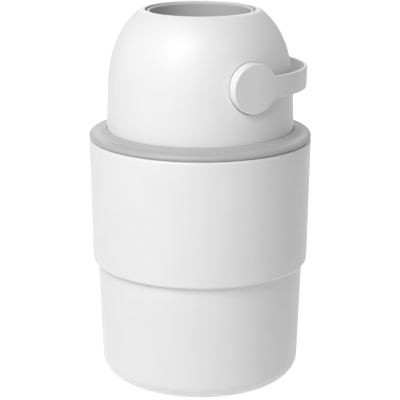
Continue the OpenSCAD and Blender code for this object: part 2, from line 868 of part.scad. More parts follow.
// Plan of the strap: a wide arc from each disc and a tighter arc round the end.
disc_s = recess_y + disc_h;
handle_reach = dome_foot_r + finger_room + strap_t;
strap_end_r = disc_s - strap_draw_in;
end_c = [handle_reach - strap_end_r, 0];
side_arc_r = (pow(end_c.x, 2) + pow(disc_s, 2) - pow(strap_end_r, 2)) / 2 / (disc_s - strap_end_r);
side_arc_c = side_arc_r - disc_s;
join_a = atan2(side_arc_c, end_c.x);
disc_gap = 0.5;
disc_back_y = recess_y + disc_gap;

// Rounded section of the strap, its outer face at radius r, made less by a hair.
module strap_section(r, less) {
    half_w = strap_w / 2 - less;
    outline([[r - strap_t + less, -half_w, handle_edge], [r - less, -half_w, handle_edge],
        [r - less, half_w, handle_edge], [r - strap_t + less, half_w, handle_edge]]);
}

module strap() {
    // far bend, which runs a little way inside both stretches
    lap_a = 0.4;
    hair = 0.02;
    translate([end_c.x, 0, 0]) rotate([0, 0, -join_a - lap_a])
        rotate_extrude(angle = 2 * (join_a + lap_a)) strap_section(strap_end_r, hair);
    // front and rear stretches
    for (s = [0, 1]) mirror([0, s, 0]) translate([0, side_arc_c, 0]) rotate([0, 0, -90])
        rotate_extrude(angle = 90 - join_a) strap_section(side_arc_r, 0);
}

// The flared root where a strap stretch meets its disc, in the disc's own plane.
module root_outline() {
    reach = blend_r + disc_d / 2;
    bx = sqrt(pow(reach, 2) - pow(blend_r + strap_w / 2, 2));
    ty = (blend_r + strap_w / 2) * disc_d / 2 / reach;
    tx = bx * disc_d / 2 / reach;
    difference() {
        polygon([[0, -ty], [tx, -ty], [bx, -strap_w / 2], [bx, strap_w / 2], [tx, ty], [0, ty]]);
        for (s = [-1, 1]) translate([bx, s * (blend_r + strap_w / 2)]) circle(blend_r);
    }
}

module disc() {
    r = disc_d / 2;
    face_edge = handle_edge * 1.3;
    rotate_extrude() outline([[0, disc_back_y, 0], [r, disc_back_y, edge_s],
        [r, disc_s, face_edge], [0, disc_s, 0]]);
}

// Everything outside the strap's outer face, to trim the disc's strap side.
module outside_strap_face() {
    translate([0, side_arc_c, 0]) rotate([0, 0, -90]) rotate_extrude(angle = 60)
        translate([side_arc_r, -disc_d]) square([disc_s, 2 * disc_d]);
}

module handle_half() {
    difference() {
        union() {
            rotate([90, 0, 0]) disc();
            // root, as thick as the strap
            intersection() {
                rotate([90, 0, 0]) linear_extrude(disc_s + past) root_outline();
                translate([0, side_arc_c, 0]) rotate([0, 0, -90]) rotate_extrude(angle = 60)
                    translate([side_arc_r - strap_t, -disc_d]) square([strap_t, 2 * disc_d]);
            }
            rotate([90, 0, 0]) journal();
        }
        outside_strap_face();
        rotate([90, 0, 0]) disc_core();
        rotate([90, 0, 0]) translate([0, 0, key_in_y - past])
            cylinder(r = handle_screw_d / 2, h = bore_r + handle_screw_l + 2 * past - key_in_y);
    }
}

// Journal that runs in the bush, and the six-sided key that turns the drum.
module journal() {
    translate([0, 0, hub_end_y])
        cylinder(r = journal_d / 2, h = disc_back_y - hub_end_y + disc_h / 3);
    translate([0, 0, key_in_y + seat_gap])
        cylinder(r = key_af / 2 / cos(30) - fit, h = hub_end_y - key_in_y - seat_gap + lap, $fn = 6);
}

// Hollow behind the disc's face, crossed by ribs.
module disc_core() {
    skin = 2.6;
    web_t = 1.6;
    face_t = 6;
    r1 = disc_d / 2 - skin;
    r0 = journal_d / 2 + web_t;
    difference() {
        ring(r1, r0, disc_back_y - past, disc_s - face_t);
        for (i = [0:5]) rotate([0, 0, i * 60]) translate([0, -web_t / 2, disc_back_y - 2 * past])
            cube([r1 + past, web_t, disc_h]);
    }
}

module handle() color(white) {
    translate([0, 0, pivot_h]) rotate([0, handle_droop, 0]) {
        strap();
        handle_half();
        mirror([0, 1, 0]) handle_half();
    }
}

module handle_screws() color(steel) {
    slot_l = handle_screw_d * 1.1;
    for (a = [0, 180]) rotate([0, 0, a]) front_end() translate([0, 0, bore_r]) {
        difference() {
            union() {
                translate([0, 0, screw_head_h - lap])
                    cylinder(r = handle_screw_d / 2 - fit, h = handle_screw_l - screw_head_h + lap);
                cylinder(r = handle_screw_d - 2 * fit, h = screw_head_h);
            }
            for (q = [0, 90]) rotate([0, 0, q])
                translate([-slot_l / 2, -slot_l / 8, -past])
                    cube([slot_l, slot_l / 4, past + screw_head_h / 2]);
        }
    }
}

bin_body();
bag_ring();
bag_hoop();
ring_gasket();
dome_shell();
upper_chamber();
lower_chamber();
mouth_seal();
outlet_seal();
base_plate();
head_gasket();
head_screws();
front_bush();
rear_bush();
drum_barrel();
upper_drum_rim();
lower_drum_rim();
handle();
handle_screws();
plunger_upper_half();
plunger_lower_half();
plunger_seal();
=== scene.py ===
"""Looks of a nappy bin: its surfaces, finishes, studio and camera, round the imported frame.

Sizes of the pieces are in millimetres in the classes, and become metres in the meshes.
+Z is up, and the handle's pivot axis lies along Y. The front disc is at -Y.
"""

import logging
import math
from dataclasses import dataclass, field
from enum import Enum

import bpy
import numpy as np
from mathutils import Euler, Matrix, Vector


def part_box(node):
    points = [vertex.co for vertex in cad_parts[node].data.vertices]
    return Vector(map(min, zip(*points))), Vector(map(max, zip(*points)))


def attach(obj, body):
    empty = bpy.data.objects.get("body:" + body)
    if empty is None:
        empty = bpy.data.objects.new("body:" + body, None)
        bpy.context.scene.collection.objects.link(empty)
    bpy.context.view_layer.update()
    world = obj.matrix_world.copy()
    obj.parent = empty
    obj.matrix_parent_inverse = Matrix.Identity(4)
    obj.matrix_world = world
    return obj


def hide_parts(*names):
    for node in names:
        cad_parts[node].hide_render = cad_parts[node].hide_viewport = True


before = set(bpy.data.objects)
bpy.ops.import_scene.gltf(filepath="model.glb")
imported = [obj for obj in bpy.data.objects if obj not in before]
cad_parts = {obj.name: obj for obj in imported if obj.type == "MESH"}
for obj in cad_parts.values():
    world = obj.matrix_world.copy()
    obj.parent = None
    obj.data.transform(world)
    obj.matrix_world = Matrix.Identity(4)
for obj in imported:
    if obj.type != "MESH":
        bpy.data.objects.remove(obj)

LOG = logging.getLogger("nappy_bin")
MM = 0.001
Pair = tuple[float, float]
Colour = tuple[float, float, float]
Socket = bpy.types.NodeSocket


# ---------------------------------------------------------------- surfaces


@dataclass
class Surface:
    """Points in millimetres with the quads and triangles that join them.

    Attributes:
        points: one row of x, y, z for each point.
        quads: one row of four point numbers for each four-sided face.
        tris: one row of three point numbers for each three-sided face.
    """

    points: np.ndarray
    quads: np.ndarray = field(default_factory=lambda: np.zeros((0, 4), int))
    tris: np.ndarray = field(default_factory=lambda: np.zeros((0, 3), int))

    def joined(self, *others: "Surface") -> "Surface":
        """Put several surfaces into one, each keeping its own points.

        Args:
            others: the surfaces to add.

        Returns:
            The surface that holds them all.
        """
        parts = (self, *others)
        starts = np.cumsum([0] + [len(p.points) for p in parts[:-1]])
        return Surface(
            np.concatenate([p.points for p in parts]),
            np.concatenate([p.quads + s for p, s in zip(parts, starts)]),
            np.concatenate([p.tris + s for p, s in zip(parts, starts)]),
        )

    def moved(self, matrix: np.ndarray, flip: bool = False) -> "Surface":
        """Turn or mirror every point by a 3 by 3 matrix.

        Args:
            matrix: the rows of the turned axes.
            flip: true where the matrix mirrors, so that faces still point outwards.

        Returns:
            The changed surface.
        """
        step = -1 if flip else 1
        return Surface(self.points @ matrix.T, self.quads[:, ::step], self.tris[:, ::step])

    def shifted(self, x: float = 0, y: float = 0, z: float = 0) -> "Surface":
        """Move every point by x, y and z."""
        return Surface(self.points + np.array([x, y, z], float), self.quads, self.tris)


def grid_quads(numbers: np.ndarray) -> np.ndarray:
    """Join a table of point numbers into quads, row by row.

    Args:
        numbers: the point number at each row and column. A table that closes on itself
            repeats its first row or column at its end.

    Returns:
        One row of four point numbers for each cell of the table.
    """
    cells = [numbers[:-1, :-1], numbers[:-1, 1:], numbers[1:, 1:], numbers[1:, :-1]]
    return np.stack(cells, -1).reshape(-1, 4)


def arc(centre: Pair, radius: float, start: float, end: float, steps: int) -> np.ndarray:
    """Points on a circle: centre plus radius times (cos a, sin a), for a from start to end.

    Args:
        centre: the circle's centre.
        radius: the circle's radius.
        start: the first angle in degrees.
        end: the last angle in degrees.
        steps: how many spans the arc is cut into.

    Returns:
        An array of steps + 1 points.
    """
    angle = np.radians(np.linspace(start, end, steps + 1))
    return np.array(centre) + radius * np.stack([np.cos(angle), np.sin(angle)], -1)


def rounded(corners: list[tuple[float, float, float]], closed: bool = True) -> np.ndarray:
    """Outline whose corners are rounded by arcs that touch both sides.

    The arc of a corner p with radius r has its centre on the corner's bisector, at
    r / sin(half angle) from p, and touches each side at r / tan(half angle) from p.

    Args:
        corners: (x, y, radius) of each corner, anticlockwise.
        closed: true where the last corner is joined to the first.

    Returns:
        An array of outline points.
    """
    table = np.array(corners, float)
    runs = []
    for i, (x, y, r) in enumerate(table):
        here = np.array([x, y])
        if r <= 0 or (not closed and i in (0, len(table) - 1)):
            runs.append(here[None])
            continue
        back = table[i - 1, :2] - here
        ahead = table[(i + 1) % len(table), :2] - here
        back, ahead = back / np.linalg.norm(back), ahead / np.linalg.norm(ahead)
        half = math.acos(float(np.clip(back @ ahead, -1, 1))) / 2
        middle = back + ahead
        centre = here + middle / np.linalg.norm(middle) * r / math.sin(half)
        first, last = here + back * r / math.tan(half), here + ahead * r / math.tan(half)
        a0, a1 = (math.atan2(*(p - centre)[::-1]) for p in (first, last))
        sweep = (a1 - a0 + math.pi) % (2 * math.pi) - math.pi
        steps = max(3, int(abs(math.degrees(sweep)) / 9))
        runs.append(arc(tuple(centre), r, math.degrees(a0), math.degrees(a0 + sweep), steps))
    return np.concatenate(runs)


def held(outline: np.ndarray, closed: bool = True, hold: float = 0.5, span: float = 9) -> np.ndarray:
    """Add points to the long straight sides of an outline, close to their ends and between.

    Args:
        outline: the outline's points.
        closed: true where the last point is joined to the first.
        hold: how far from each end the first added point lies.
        span: the longest side left between the added points.

    Returns:
        The outline with the points added.
    """
    ends = np.roll(outline, -1, 0) if closed else outline[1:]
    runs = []
    for a, b in zip(outline, ends):
        length = float(np.linalg.norm(b - a))
        if length > 4 * hold:
            inner = np.linspace(hold, length - hold, max(2, math.ceil(length / span)))
            share = np.concatenate([[0], inner / length])
        else:
            share = np.zeros(1)
        runs.append(a + share[:, None] * (b - a))
    if not closed:
        runs.append(outline[-1:])
    return np.concatenate(runs)


def revolved(outline: np.ndarray, sectors: int, closed: bool = True) -> Surface:
    """Turn an outline of (radius, height) about Z: x = r cos a, y = r sin a, z = h.

    Args:
        outline: the half section, anticlockwise, so that faces point outwards.
        sectors: how many steps the full turn is cut into.
        closed: false where both ends lie on the axis, which become single points.

    Returns:
        The surface of revolution.
    """
    turn = np.linspace(0, 2 * np.pi, sectors, endpoint=False)
    rings = outline if closed else outline[1:-1]
    r, h = rings[:, :1], rings[:, 1:]
    points = np.stack([r * np.cos(turn), r * np.sin(turn), h + 0 * turn], -1).reshape(-1, 3)
    numbers = np.arange(len(rings) * sectors).reshape(len(rings), sectors)
    numbers = np.concatenate([numbers, numbers[:, :1]], 1)
    if closed:
        numbers = np.concatenate([numbers, numbers[:1]])
        return Surface(points, grid_quads(numbers))
    first, last = len(points), len(points) + 1
    poles = np.array([[0, 0, outline[0, 1]], [0, 0, outline[-1, 1]]])
    low = np.stack([np.full(sectors, first), numbers[0, 1:], numbers[0, :-1]], -1)
    high = np.stack([np.full(sectors, last), numbers[-1, :-1], numbers[-1, 1:]], -1)
    return Surface(np.concatenate([points, poles]), grid_quads(numbers), np.concatenate([low, high]))


def prism(outline: np.ndarray, low: float, high: float) -> Surface:
    """Closed straight prism: a flat outline carried from one height to another.

    Args:
        outline: the convex outline's (x, y) points, anticlockwise.
        low: the height of the lower end.
        high: the height of the upper end.

    Returns:
        The closed surface.
    """
    n = len(outline)
    rings = [np.column_stack([outline, np.full(n, h)]) for h in (low, high)]
    ends = np.array([[*outline.mean(0), low], [*outline.mean(0), high]])
    numbers = np.arange(2 * n).reshape(2, n)
    numbers = np.concatenate([numbers, numbers[:, :1]], 1)
    under = np.stack([np.full(n, 2 * n), numbers[0, 1:], numbers[0, :-1]], -1)
    over = np.stack([np.full(n, 2 * n + 1), numbers[1, :-1], numbers[1, 1:]], -1)
    return Surface(np.concatenate([*rings, ends]), grid_quads(numbers), np.concatenate([under, over]))


def mesh_object(name: str, surface: Surface, sharp_deg: float = 32) -> bpy.types.Object:
    """Make a Blender object from a surface, smooth except over sharp edges.

    Args:
        name: the object's name.
        surface: the surface in millimetres.
        sharp_deg: edges that turn by more than this stay sharp.

    Returns:
        The new object, at the origin.
    """
    mesh = bpy.data.meshes.new(name)
    corners = np.concatenate([surface.quads.ravel(), surface.tris.ravel()]).astype(np.int32)
    sides = np.concatenate([np.full(len(surface.quads), 4), np.full(len(surface.tris), 3)])
    mesh.vertices.add(len(surface.points))
    mesh.vertices.foreach_set("co", (surface.points * MM).astype(np.float32).ravel())
    mesh.loops.add(len(corners))
    mesh.loops.foreach_set("vertex_index", corners)
    mesh.polygons.add(len(sides))
    starts = np.concatenate([[0], np.cumsum(sides)[:-1]]).astype(np.int32)
    mesh.polygons.foreach_set("loop_start", starts)
    mesh.update(calc_edges=True)
    mesh.validate()
    mesh.shade_smooth()
    mesh.set_sharp_from_angle(angle=math.radians(sharp_deg))
    piece = bpy.data.objects.new(name, mesh)
    bpy.context.scene.collection.objects.link(piece)
    return piece


# ---------------------------------------------------------------- finishes


class NodeKit:
    """Adds shader nodes to one material or world and wires them.

    Args:
        owner: the new material or world, which gets an empty node tree.
    """

    def __init__(self, owner: bpy.types.Material | bpy.types.World) -> None:
        """Empty the owner's node tree."""
        self.owner = owner
        owner.use_nodes = True
        self.tree = owner.node_tree
        self.tree.nodes.clear()

    @classmethod
    def for_material(cls, name: str) -> "NodeKit":
        """Start a new, empty material."""
        return cls(bpy.data.materials.new(name))

    def add(self, kind: str, inputs: dict | None = None, **settings: object) -> bpy.types.Node:
        """Add a node.

        Args:
            kind: the node's type name.
            inputs: for each socket name, a constant or the socket it is wired from.
            settings: the node's own properties.

        Returns:
            The new node.
        """
        node = self.tree.nodes.new(kind)
        for key, value in settings.items():
            setattr(node, key, value)
        for key, value in (inputs or {}).items():
            if isinstance(value, bpy.types.NodeSocket):
                self.tree.links.new(value, node.inputs[key])
            else:
                node.inputs[key].default_value = value
        return node

    def noise(self, scale: float, detail: float = 2, stretch: tuple | None = None) -> Socket:
        """Noise on Object coordinates.

        Args:
            scale: cells per metre.
            detail: octaves of finer noise.
            stretch: scale along X, Y and Z, where the grain has a direction.

        Returns:
            The noise's value socket.
        """
        place = self.add("ShaderNodeTexCoord").outputs["Object"]
        if stretch:
            place = self.add("ShaderNodeMapping", {"Vector": place, "Scale": stretch}).outputs["Vector"]
        noise = self.add("ShaderNodeTexNoise", {"Vector": place, "Scale": scale, "Detail": detail})
        return noise.outputs["Fac"]

    def span(self, value: Socket, low: float, high: float, ends: Pair = (0.3, 0.7)) -> Socket:
        """Map a value's middle range to a new range.

        Args:
            value: the socket to map.
            low: the result at the first end.
            high: the result at the second end.
            ends: the values that give low and high.

        Returns:
            The mapped socket.
        """
        node = self.add(
            "ShaderNodeMapRange",
            {"Value": value, "From Min": ends[0], "From Max": ends[1], "To Min": low, "To Max": high},
        )
        return node.outputs["Result"]

    def bump(self, height: Socket, depth: float, normal: Socket | None = None) -> Socket:
        """Raise the surface by a height map.

        Args:
            height: the height's socket, 0 to 1.
            depth: the height in metres that 1 stands for.
            normal: an earlier bump's normal.

        Returns:
            The new normal's socket.
        """
        inputs = {"Height": height, "Distance": depth, "Strength": 1.0}
        if normal:
            inputs["Normal"] = normal
        return self.add("ShaderNodeBump", inputs).outputs["Normal"]

    def edge_mask(self, radius: float) -> Socket:
        """How much the surface bends within a radius: 1 minus the dot product of the true normal
        and the normal averaged over the radius.

        Args:
            radius: the radius in metres.

        Returns:
            The mask's socket, 0 on open faces.
        """
        soft = self.add("ShaderNodeBevel", {"Radius": radius}, samples=4).outputs["Normal"]
        true = self.add("ShaderNodeNewGeometry").outputs["Normal"]
        dot = self.add("ShaderNodeVectorMath", {0: soft, 1: true}, operation="DOT_PRODUCT")
        return self.span(dot.outputs["Value"], 1.0, 0.0, (0.75, 0.995))

    def mixed(self, share: Socket, first: Colour | Socket, second: Colour | Socket) -> Socket:
        """Mix two colours.

        Args:
            share: 0 gives the first and 1 the second.
            first: a colour or a socket.
            second: a colour or a socket.

        Returns:
            The mixed colour's socket.
        """
        node = self.add("ShaderNodeMix", data_type="RGBA")
        names = {"Factor_Float": share, "A_Color": first, "B_Color": second}
        for key, value in names.items():
            target = next(s for s in node.inputs if s.identifier == key)
            if isinstance(value, bpy.types.NodeSocket):
                self.tree.links.new(value, target)
            else:
                target.default_value = (*value, 1)
        return next(s for s in node.outputs if s.identifier == "Result_Color")

    def finish(self, shader: bpy.types.Node) -> bpy.types.Material:
        """Wire the shader to the output and hand back the material."""
        self.add("ShaderNodeOutputMaterial", {"Surface": shader.outputs[0]})
        return self.owner


def shaded(colour: Colour, gain: float) -> Colour:
    """A colour made lighter or darker by a factor, and never above white."""
    return tuple(min(1.0, c * gain) for c in colour)


@dataclass(frozen=True)
class MouldedPlastic:
    """Satin injection-moulded plastic with a spark-eroded grain.

    Attributes:
        name: the material's name.
        colour: the linear base colour.
        roughness: the mean roughness.
        grain_pitch: metres between the grain's bumps.
        grain_depth: the grain's height in metres.
        mottle: how far the colour strays from its mean.
        edge_gain: how much lighter the rubbed edges are.
        ior: how strongly the surface mirrors, as a refractive index.
    """

    name: str
    colour: Colour
    roughness: float
    grain_pitch: float = 0.0005
    grain_depth: float = 0.000012
    mottle: float = 0.02
    edge_gain: float = 1.03
    ior: float = 1.4

    def material(self) -> bpy.types.Material:
        """Build the node material."""
        kit = NodeKit.for_material(self.name)
        cloud = kit.noise(28, 3)
        body = kit.mixed(kit.span(cloud, 0, 1), shaded(self.colour, 1 - self.mottle), self.colour)
        colour = kit.mixed(kit.edge_mask(0.0009), body, shaded(self.colour, self.edge_gain))
        grain = kit.noise(1 / self.grain_pitch, 2)
        swell = kit.noise(16, 1)
        normal = kit.bump(swell, 0.00008)
        normal = kit.bump(grain, self.grain_depth, normal)
        rough = kit.span(kit.noise(70, 4), self.roughness - 0.03, self.roughness + 0.03)
        shader = kit.add(
            "ShaderNodeBsdfPrincipled",
            {"Base Color": colour, "Roughness": rough, "Normal": normal, "IOR": self.ior},
        )
        return kit.finish(shader)


@dataclass(frozen=True)
class SealRubber:
    """Matt moulded rubber with a faint bloom of dust.

    Attributes:
        name: the material's name.
        colour: the linear base colour.
        bloom: the colour of the dust.
    """

    name: str
    colour: Colour
    bloom: Colour

    def material(self) -> bpy.types.Material:
        """Build the node material."""
        kit = NodeKit.for_material(self.name)
        dust = kit.span(kit.noise(120, 5), 0, 0.5, (0.45, 0.8))
        colour = kit.mixed(dust, self.colour, self.bloom)
        normal = kit.bump(kit.noise(900, 3), 0.00002)
        rough = kit.span(kit.noise(60, 3), 0.62, 0.78)
        shader = kit.add(
            "ShaderNodeBsdfPrincipled",
            {"Base Color": colour, "Roughness": rough, "Normal": normal, "IOR": 1.52},
        )
        return kit.finish(shader)


@dataclass(frozen=True)
class PlatedSteel:
    """Zinc-plated steel with turning marks and a rubbed edge.

    Attributes:
        name: the material's name.
        colour: the linear base colour.
    """

    name: str
    colour: Colour

    def material(self) -> bpy.types.Material:
        """Build the node material."""
        kit = NodeKit.for_material(self.name)
        patches = kit.span(kit.noise(300, 3), 0, 1)
        body = kit.mixed(patches, shaded(self.colour, 0.86), self.colour)
        colour = kit.mixed(kit.edge_mask(0.0003), body, shaded(self.colour, 1.2))
        marks = kit.noise(900, 2, (1, 1, 6))
        normal = kit.bump(marks, 0.00001)
        rough = kit.span(kit.noise(500, 4), 0.24, 0.38)
        shader = kit.add(
            "ShaderNodeBsdfPrincipled",
            {"Base Color": colour, "Roughness": rough, "Normal": normal, "Metallic": 1.0},
        )
        return kit.finish(shader)


class Finish(Enum):
    """The bin's finishes, each with its own name and the record's slot that it belongs to."""

    WHITE = ("shell", "white_plastic")
    GREY = ("ring", "grey_plastic")
    DRUM = ("drum", "grey_plastic")
    RUBBER = ("seal", "seal_rubber")
    BUSH = ("bush", "bush_plastic")
    STEEL = ("screw", "screw_steel")

    @property
    def slot(self) -> str:
        """The record's material slot."""
        return self.value[1]


RECIPES = {
    Finish.WHITE: MouldedPlastic("white satin shell", (0.84, 0.84, 0.84), 0.4),
    Finish.GREY: MouldedPlastic("pale grey satin plastic", (0.50, 0.50, 0.50), 0.38, mottle=0.03),
    Finish.DRUM: MouldedPlastic("grey satin drum", (0.57, 0.57, 0.57), 0.4, mottle=0.03),
    Finish.RUBBER: SealRubber("dark seal rubber", (0.035, 0.035, 0.037), (0.12, 0.12, 0.12)),
    Finish.BUSH: MouldedPlastic("slate acetal", (0.05, 0.05, 0.052), 0.3, mottle=0.08, edge_gain=1.6),
    Finish.STEEL: PlatedSteel("zinc plated steel", (0.62, 0.63, 0.65)),
}


class Wardrobe:
    """Builds each finish once and puts it on pieces."""

    def __init__(self) -> None:
        """Build all the finishes."""
        self.materials = {finish: recipe.material() for finish, recipe in RECIPES.items()}

    def dress(self, piece: bpy.types.Object, finish: Finish) -> None:
        """Give a piece its finish.

        Args:
            piece: the object to dress.
            finish: which finish it takes.
        """
        piece.data.materials.clear()
        piece.data.materials.append(self.materials[finish])

    def dress_node(self, node: str, finish: Finish) -> None:
        """Give a carried-over CAD node its finish through its material slots."""
        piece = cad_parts[node]
        if not piece.material_slots:
            piece.data.materials.append(None)
        for place in piece.material_slots:
            place.material = self.materials[finish]


def place(piece: bpy.types.Object, body: str, *nodes: str) -> None:
    """Make a piece ride on a body and stand for CAD nodes, and report it.

    Args:
        piece: the new piece.
        body: the body it moves with.
        nodes: the CAD nodes that it stands for.
    """
    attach(piece, body)
    if nodes:
        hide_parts(*nodes)
    LOG.info("%s: %d faces on %s", piece.name, len(piece.data.polygons), body)


# ---------------------------------------------------------------- tub and shoulder ring


@dataclass
class Tub:
    """The stepped round tub with its rim, floor and raised, ribbed base."""

    rim_r: float = 120
    step_r: float = 118
    lower_r: float = 112.6
    base_r: float = 108.5
    height: float = 265.4
    step_z: float = 130
    wall: float = 2.6
    floor: float = 3
    base_fillet: float = 19
    step_fillet: float = 2.5
    rim_width: float = 6.5
    base_recess: float = 1.6
    foot_width: float = 9
    rim_drop: float = 7
    taper_drop: float = 14
    hub_r: float = 14
    hub_bore_r: float = 12.2
    rib_half: float = 0.9
    rib_low: float = 0.4
    rib_count: int = 8
    sectors: int = 288

    def half_section(self) -> np.ndarray:
        """Half section from the middle of the underside, round the outside and down the inside."""
        slope = (self.rim_r - self.step_r) / (self.height - self.step_z)
        foot_r = self.base_r - self.base_fillet
        inner_base = self.base_r - self.wall + 0.1
        top_in = self.height - self.rim_drop
        floor_z = self.floor + self.base_recess
        corners = [
            (0, self.base_recess, 0),
            (foot_r - self.foot_width, self.base_recess, 0.5),
            (foot_r - self.foot_width, 0, 0.4),
            (self.base_r, 0, self.base_fillet),
            (self.lower_r, self.step_z, 1),
            (self.step_r, self.step_z, self.step_fillet),
            (self.rim_r, self.height, 2.8),
            (self.rim_r - self.rim_width, self.height, 0.8),
            (self.rim_r - self.rim_width, top_in, 1),
            (self.rim_r - self.wall - slope * self.taper_drop, self.height - self.taper_drop, 2),
            (self.step_r - self.wall, self.step_z + self.wall, 1.5),
            (self.lower_r - self.wall, self.step_z + self.wall, 2),
            (inner_base, floor_z, self.base_fillet - self.wall),
            (0, floor_z, 0),
        ]
        return held(rounded(corners, closed=False), closed=False)

    def ribs(self) -> list[Surface]:
        """Flat radial ribs and a hub ring under the raised base."""
        reach = self.base_r - self.base_fillet - self.foot_width + 0.5
        start, t, low = self.hub_r - 1, self.rib_half, self.rib_low
        high = self.base_recess + low
        bar = np.array([[start, -t], [reach, -t], [reach, t], [start, t]])
        rib = prism(bar, low, high)
        angles = (np.arange(self.rib_count) + 0.5) * 2 * np.pi / self.rib_count
        bore_r, hub_r = self.hub_bore_r, self.hub_r
        hub = held(rounded([(bore_r, low, 0.3), (hub_r, low, 0.3), (hub_r, high, 0), (bore_r, high, 0)]))
        return [revolved(hub, 48)] + [rib.moved(turn_z(a)) for a in angles]

    def build(self, wardrobe: Wardrobe) -> None:
        """Make the tub and put it on its body."""
        shell = revolved(self.half_section(), self.sectors, closed=False)
        tub = mesh_object("tub_shell", shell.joined(*self.ribs()))
        wardrobe.dress(tub, Finish.WHITE)
        place(tub, "tub", "bin_body")


@dataclass
class ShoulderRing:
    """The grey ring on the rim: bead, groove, collar, shelf and skirt."""

    seat_z: float = 265.7
    outer_r: float = 119.9
    bore_r: float = 80
    skirt_r: float = 113.2
    wall: float = 2.4
    skirt: float = 12
    bead: float = 6.8
    groove: float = 0.4
    shelf_z: float = 270.5
    collar_r: float = 101.6
    crest_rise: float = 4.3
    crest_width: float = 1.6
    groove_width: float = 7.4
    groove_slope: float = 4.2
    cone_width: float = 6
    under_width: float = 2.4
    under_rise: float = 2.2
    band_depth: float = 1.2
    band_top: float = 2.5
    band_bottom: float = 5.5
    flange_r: float = 100.4
    flange_drop: float = 12.5
    sectors: int = 288

    def half_section(self) -> np.ndarray:
        """Closed half section of the ring, with the flange that the bag hangs on."""
        z, top = self.seat_z, self.seat_z + self.bead
        inside = self.skirt_r - self.wall
        groove_r, crest = self.collar_r + self.groove_width, top + self.crest_rise
        under, flange_in = self.shelf_z - self.wall, self.flange_r - self.wall
        flange_z = self.shelf_z - self.flange_drop
        corners = [
            (self.bore_r, under, 1),
            (flange_in, under, 1),
            (flange_in, flange_z, 0.8),
            (self.flange_r, flange_z, 0.8),
            (self.flange_r, under, 1),
            (inside - self.cone_width, under, 2),
            (inside, z - self.wall, 1.5),
            (inside, z - self.skirt, 0.8),
            (self.skirt_r, z - self.skirt, 0.8),
            (self.skirt_r, z - self.band_bottom, 0),
            (self.skirt_r - self.band_depth, z - self.band_bottom, 0),
            (self.skirt_r - self.band_depth, z - self.band_top, 0),
            (self.skirt_r, z - self.band_top, 0),
            (self.skirt_r, z, 0.5),
            (self.outer_r - self.under_width, z, 0),
            (self.outer_r, z + self.under_rise, 2),
            (self.outer_r, top, 4.2),
            (groove_r + self.groove_slope, top, 9),
            (groove_r, top - self.groove, 9),
            (self.collar_r + self.crest_width, crest, 1.4),
            (self.collar_r, crest - 0.1, 0.5),
            (self.collar_r, self.shelf_z, 0.8),
            (self.bore_r, self.shelf_z, 1),
        ]
        return held(rounded(corners), span=6)

    def build(self, wardrobe: Wardrobe) -> None:
        """Make the ring and put it on its body."""
        ring = mesh_object("shoulder_ring", revolved(self.half_section(), self.sectors))
        wardrobe.dress(ring, Finish.GREY)
        place(ring, "shoulder", "bag_ring")


@dataclass
class DrumRim:
    """The round-edged rim at one end of the drum, with a skirt that lines the drum's end.

    The skirt is smooth, and longer than the solid rim's short lip that stops the plunger.
    """

    pivot_z: float = 333.999
    half_length: float = 68.5
    outer_r: float = 57.2
    liner_r: float = 55.1
    bore_r: float = 53.8
    height: float = 9
    skirt: float = 8
    spigot: float = 4.8
    socket_r: float = 56.3
    sectors: int = 240

    def section(self) -> np.ndarray:
        """Closed half section, as heights above the pivot."""
        top, low = self.half_length, self.half_length - self.height
        edge = (self.outer_r - self.bore_r) / 2 - 0.05
        corners = [
            (self.bore_r, low - self.skirt, 0.4),
            (self.liner_r, low - self.skirt, 0.4),
            (self.liner_r, low, 0),
            (self.socket_r, low, 0),
            (self.socket_r, low - self.spigot, 0),
            (self.outer_r, low - self.spigot, 0),
            (self.outer_r, top, edge),
            (self.bore_r, top, edge),
        ]
        return held(rounded(corners), span=6)

    def build(self, wardrobe: Wardrobe) -> None:
        """Make both rims, the lower one mirrored from the upper, and put them on the drum."""
        upper = revolved(self.section(), self.sectors)
        lower = upper.moved(np.diag([1, 1, -1]), flip=True)
        for name, rim, node in (
            ("upper_rim", upper, "upper_drum_rim"),
            ("lower_rim", lower, "lower_drum_rim"),
        ):
            piece = mesh_object(name, rim.shifted(z=self.pivot_z))
            wardrobe.dress(piece, Finish.DRUM)
            place(piece, "drum", node)


